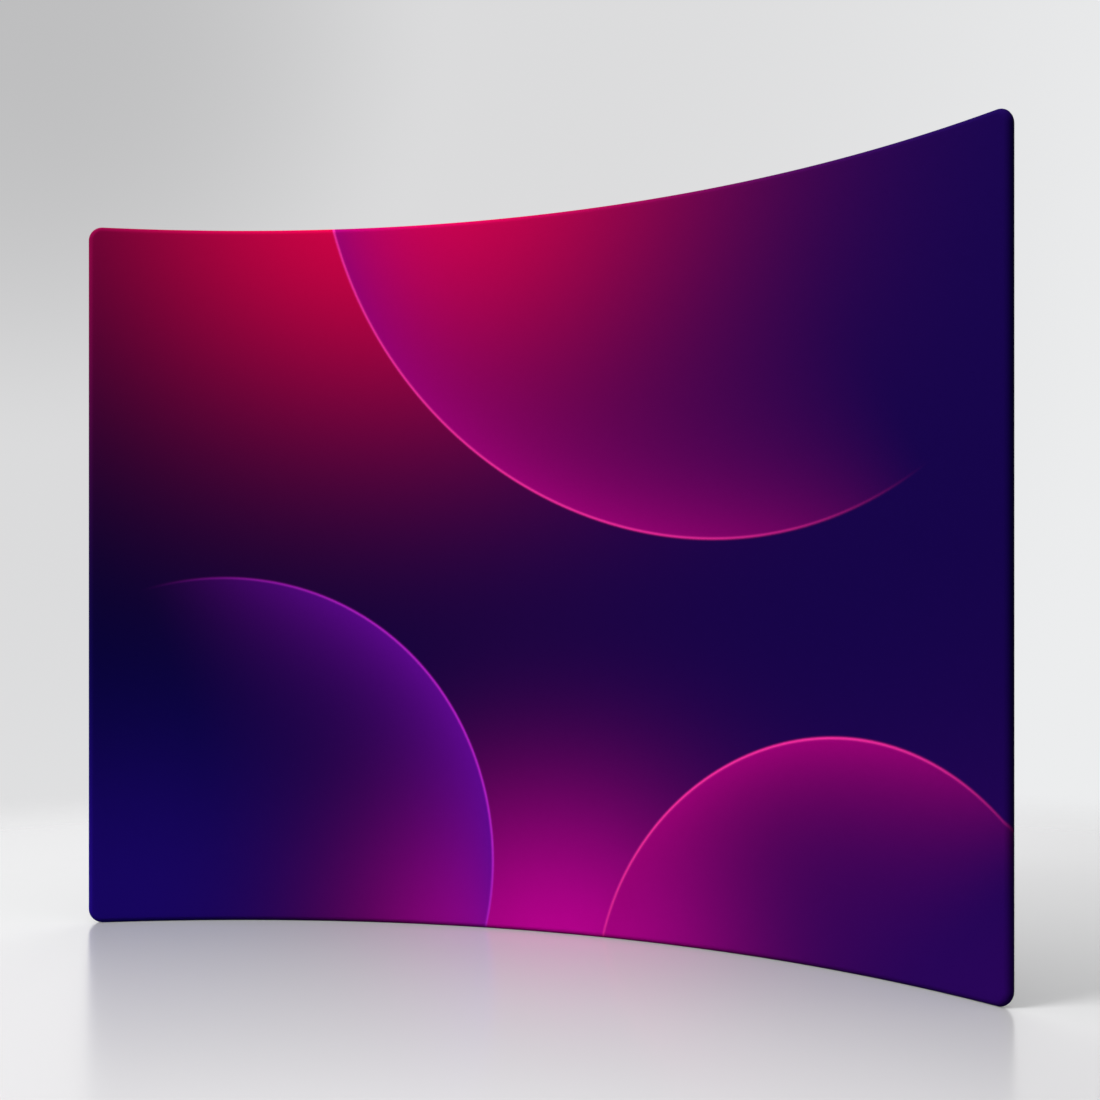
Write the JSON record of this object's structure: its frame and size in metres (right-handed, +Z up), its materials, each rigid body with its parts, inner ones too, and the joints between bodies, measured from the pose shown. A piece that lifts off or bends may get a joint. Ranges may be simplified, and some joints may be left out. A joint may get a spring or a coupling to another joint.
{
  "type": "curved display wall",
  "caption": "Free-standing curved exhibition wall: a push-together tube frame inside a zipped stretch-fabric cover with a printed hollow face and round corners.",
  "frame": {"origin": "on the floor, under the middle of the wall's overall box", "axes": "+Z up, +X along the wall's width to the right as seen from the front, the hollow printed face towards -Y"},
  "size_m": [2.95, 0.4848, 2.3],
  "materials": {
    "printed_cloth": "fine knitted polyester with a dye-printed face, soft sheen",
    "dark_cloth": "fine knitted black polyester, matt",
    "zip_tape": "woven twill tape",
    "zip_teeth": "moulded acetal, satin",
    "zip_metal": "die-cast zinc, black lacquer",
    "moulded_fitting": "moulded glass-filled nylon, fine spark texture",
    "tube_aluminium": "drawn tube, satin anodised",
    "coupler_aluminium": "drawn sleeve, mill finish",
    "rivet_aluminium": "domed blind rivet",
    "button_steel": "zinc-plated steel",
    "spring_steel": "hardened strip"
  },
  "bodies": {
    "wall": {"bottom_rail_left": "tube_aluminium", "bottom_rail_middle": "tube_aluminium", "bottom_rail_right": "tube_aluminium", "top_rail_left": "tube_aluminium", "top_rail_middle": "tube_aluminium", "top_rail_right": "tube_aluminium", "elbow_bottom_left": "moulded_fitting", "elbow_bottom_right": "moulded_fitting", "elbow_top_left": "moulded_fitting", "elbow_top_right": "moulded_fitting", "tee_bottom_left": "moulded_fitting", "tee_bottom_right": "moulded_fitting", "tee_top_left": "moulded_fitting", "tee_top_right": "moulded_fitting", "left_upright_lower": "tube_aluminium", "left_upright_upper": "tube_aluminium", "left_post_lower": "tube_aluminium", "left_post_upper": "tube_aluminium", "right_upright_lower": "tube_aluminium", "right_upright_upper": "tube_aluminium", "right_post_lower": "tube_aluminium", "right_post_upper": "tube_aluminium", "pole_couplers": "coupler_aluminium", "coupler_rivets": "rivet_aluminium", "button_springs": "spring_steel", "front_panel": "printed_cloth", "back_panel": "dark_cloth", "zip_tape_upper": "zip_tape", "zip_teeth_upper": "zip_teeth", "zip_tape_lower": "zip_tape", "zip_teeth_lower": "zip_teeth", "zip_stops": "zip_metal"},
    "bottom_rail_button_1": {"bottom_rail_button_1": "button_steel"},
    "bottom_rail_button_2": {"bottom_rail_button_2": "button_steel"},
    "top_rail_button_1": {"top_rail_button_1": "button_steel"},
    "top_rail_button_2": {"top_rail_button_2": "button_steel"},
    "bottom_rail_button_3": {"bottom_rail_button_3": "button_steel"},
    "bottom_rail_button_4": {"bottom_rail_button_4": "button_steel"},
    "bottom_rail_button_5": {"bottom_rail_button_5": "button_steel"},
    "bottom_rail_button_6": {"bottom_rail_button_6": "button_steel"},
    "top_rail_button_3": {"top_rail_button_3": "button_steel"},
    "top_rail_button_4": {"top_rail_button_4": "button_steel"},
    "top_rail_button_5": {"top_rail_button_5": "button_steel"},
    "top_rail_button_6": {"top_rail_button_6": "button_steel"},
    "left_upright_button_1": {"left_upright_button_1": "button_steel"},
    "left_upright_button_2": {"left_upright_button_2": "button_steel"},
    "left_upright_button_3": {"left_upright_button_3": "button_steel"},
    "left_post_button_1": {"left_post_button_1": "button_steel"},
    "left_post_button_2": {"left_post_button_2": "button_steel"},
    "left_post_button_3": {"left_post_button_3": "button_steel"},
    "right_upright_button_1": {"right_upright_button_1": "button_steel"},
    "right_upright_button_2": {"right_upright_button_2": "button_steel"},
    "right_upright_button_3": {"right_upright_button_3": "button_steel"},
    "right_post_button_1": {"right_post_button_1": "button_steel"},
    "right_post_button_2": {"right_post_button_2": "button_steel"},
    "right_post_button_3": {"right_post_button_3": "button_steel"},
    "zip_slider": {"zip_slider": "zip_metal"},
    "zip_pull": {"zip_pull": "zip_metal"}
  },
  "joints": [
    {"name": "press_bottom_rail_button_1", "type": "slide", "parent": "wall", "child": "bottom_rail_button_1", "axis": [0, 0, -1], "range_m": [0, 0.0037], "stiffness_N_per_m": 1500, "springref_m": -0.004, "deforming": ["button_springs"]},
    {"name": "press_bottom_rail_button_2", "type": "slide", "parent": "wall", "child": "bottom_rail_button_2", "axis": [0, 0, -1], "range_m": [0, 0.0037], "stiffness_N_per_m": 1500, "springref_m": -0.004, "deforming": ["button_springs"]},
    {"name": "press_top_rail_button_1", "type": "slide", "parent": "wall", "child": "top_rail_button_1", "axis": [0, 0, 1], "range_m": [0, 0.0037], "stiffness_N_per_m": 1500, "springref_m": -0.004, "deforming": ["button_springs"]},
    {"name": "press_top_rail_button_2", "type": "slide", "parent": "wall", "child": "top_rail_button_2", "axis": [0, 0, 1], "range_m": [0, 0.0037], "stiffness_N_per_m": 1500, "springref_m": -0.004, "deforming": ["button_springs"]},
    {"name": "press_bottom_rail_button_3", "type": "slide", "parent": "wall", "child": "bottom_rail_button_3", "axis": [0, 0, -1], "range_m": [0, 0.0037], "stiffness_N_per_m": 1500, "springref_m": -0.004, "deforming": ["button_springs"]},
    {"name": "press_bottom_rail_button_4", "type": "slide", "parent": "wall", "child": "bottom_rail_button_4", "axis": [0, 0, -1], "range_m": [0, 0.0037], "stiffness_N_per_m": 1500, "springref_m": -0.004, "deforming": ["button_springs"]},
    {"name": "press_bottom_rail_button_5", "type": "slide", "parent": "wall", "child": "bottom_rail_button_5", "axis": [0, 0, -1], "range_m": [0, 0.0037], "stiffness_N_per_m": 1500, "springref_m": -0.004, "deforming": ["button_springs"]},
    {"name": "press_bottom_rail_button_6", "type": "slide", "parent": "wall", "child": "bottom_rail_button_6", "axis": [0, 0, -1], "range_m": [0, 0.0037], "stiffness_N_per_m": 1500, "springref_m": -0.004, "deforming": ["button_springs"]},
    {"name": "press_top_rail_button_3", "type": "slide", "parent": "wall", "child": "top_rail_button_3", "axis": [0, 0, 1], "range_m": [0, 0.0037], "stiffness_N_per_m": 1500, "springref_m": -0.004, "deforming": ["button_springs"]},
    {"name": "press_top_rail_button_4", "type": "slide", "parent": "wall", "child": "top_rail_button_4", "axis": [0, 0, 1], "range_m": [0, 0.0037], "stiffness_N_per_m": 1500, "springref_m": -0.004, "deforming": ["button_springs"]},
    {"name": "press_top_rail_button_5", "type": "slide", "parent": "wall", "child": "top_rail_button_5", "axis": [0, 0, 1], "range_m": [0, 0.0037], "stiffness_N_per_m": 1500, "springref_m": -0.004, "deforming": ["button_springs"]},
    {"name": "press_top_rail_button_6", "type": "slide", "parent": "wall", "child": "top_rail_button_6", "axis": [0, 0, 1], "range_m": [0, 0.0037], "stiffness_N_per_m": 1500, "springref_m": -0.004, "deforming": ["button_springs"]},
    {"name": "press_left_upright_button_1", "type": "slide", "parent": "wall", "child": "left_upright_button_1", "axis": [-0.8327, -0.5538, 0], "range_m": [0, 0.0037], "stiffness_N_per_m": 1500, "springref_m": -0.004, "deforming": ["button_springs"]},
    {"name": "press_left_upright_button_2", "type": "slide", "parent": "wall", "child": "left_upright_button_2", "axis": [-0.8327, -0.5538, 0], "range_m": [0, 0.0037], "stiffness_N_per_m": 1500, "springref_m": -0.004, "deforming": ["button_springs"]},
    {"name": "press_left_upright_button_3", "type": "slide", "parent": "wall", "child": "left_upright_button_3", "axis": [-0.8327, -0.5538, 0], "range_m": [0, 0.0037], "stiffness_N_per_m": 1500, "springref_m": -0.004, "deforming": ["button_springs"]},
    {"name": "press_left_post_button_1", "type": "slide", "parent": "wall", "child": "left_post_button_1", "axis": [-0.9809, -0.1944, 0], "range_m": [0, 0.0037], "stiffness_N_per_m": 1500, "springref_m": -0.004, "deforming": ["button_springs"]},
    {"name": "press_left_post_button_2", "type": "slide", "parent": "wall", "child": "left_post_button_2", "axis": [-0.9809, -0.1944, 0], "range_m": [0, 0.0037], "stiffness_N_per_m": 1500, "springref_m": -0.004, "deforming": ["button_springs"]},
    {"name": "press_left_post_button_3", "type": "slide", "parent": "wall", "child": "left_post_button_3", "axis": [-0.9809, -0.1944, 0], "range_m": [0, 0.0037], "stiffness_N_per_m": 1500, "springref_m": -0.004, "deforming": ["button_springs"]},
    {"name": "press_right_upright_button_1", "type": "slide", "parent": "wall", "child": "right_upright_button_1", "axis": [0.8327, -0.5538, 0], "range_m": [0, 0.0037], "stiffness_N_per_m": 1500, "springref_m": -0.004, "deforming": ["button_springs"]},
    {"name": "press_right_upright_button_2", "type": "slide", "parent": "wall", "child": "right_upright_button_2", "axis": [0.8327, -0.5538, 0], "range_m": [0, 0.0037], "stiffness_N_per_m": 1500, "springref_m": -0.004, "deforming": ["button_springs"]},
    {"name": "press_right_upright_button_3", "type": "slide", "parent": "wall", "child": "right_upright_button_3", "axis": [0.8327, -0.5538, 0], "range_m": [0, 0.0037], "stiffness_N_per_m": 1500, "springref_m": -0.004, "deforming": ["button_springs"]},
    {"name": "press_right_post_button_1", "type": "slide", "parent": "wall", "child": "right_post_button_1", "axis": [0.9809, -0.1944, 0], "range_m": [0, 0.0037], "stiffness_N_per_m": 1500, "springref_m": -0.004, "deforming": ["button_springs"]},
    {"name": "press_right_post_button_2", "type": "slide", "parent": "wall", "child": "right_post_button_2", "axis": [0.9809, -0.1944, 0], "range_m": [0, 0.0037], "stiffness_N_per_m": 1500, "springref_m": -0.004, "deforming": ["button_springs"]},
    {"name": "press_right_post_button_3", "type": "slide", "parent": "wall", "child": "right_post_button_3", "axis": [0.9809, -0.1944, 0], "range_m": [0, 0.0037], "stiffness_N_per_m": 1500, "springref_m": -0.004, "deforming": ["button_springs"]},
    {"name": "zip_run", "type": "hinge", "parent": "wall", "child": "zip_slider", "pos_m": [0, -2.3651, 0.06], "axis": [0, 0, 1], "range_deg": [0, 64.02]},
    {"name": "zip_pull_swing", "type": "hinge", "parent": "zip_slider", "child": "zip_pull", "pos_m": [1.3837, -0.15178, 0.06], "axis": [0, 0, -1], "range_deg": [0, 180]}
  ]
}
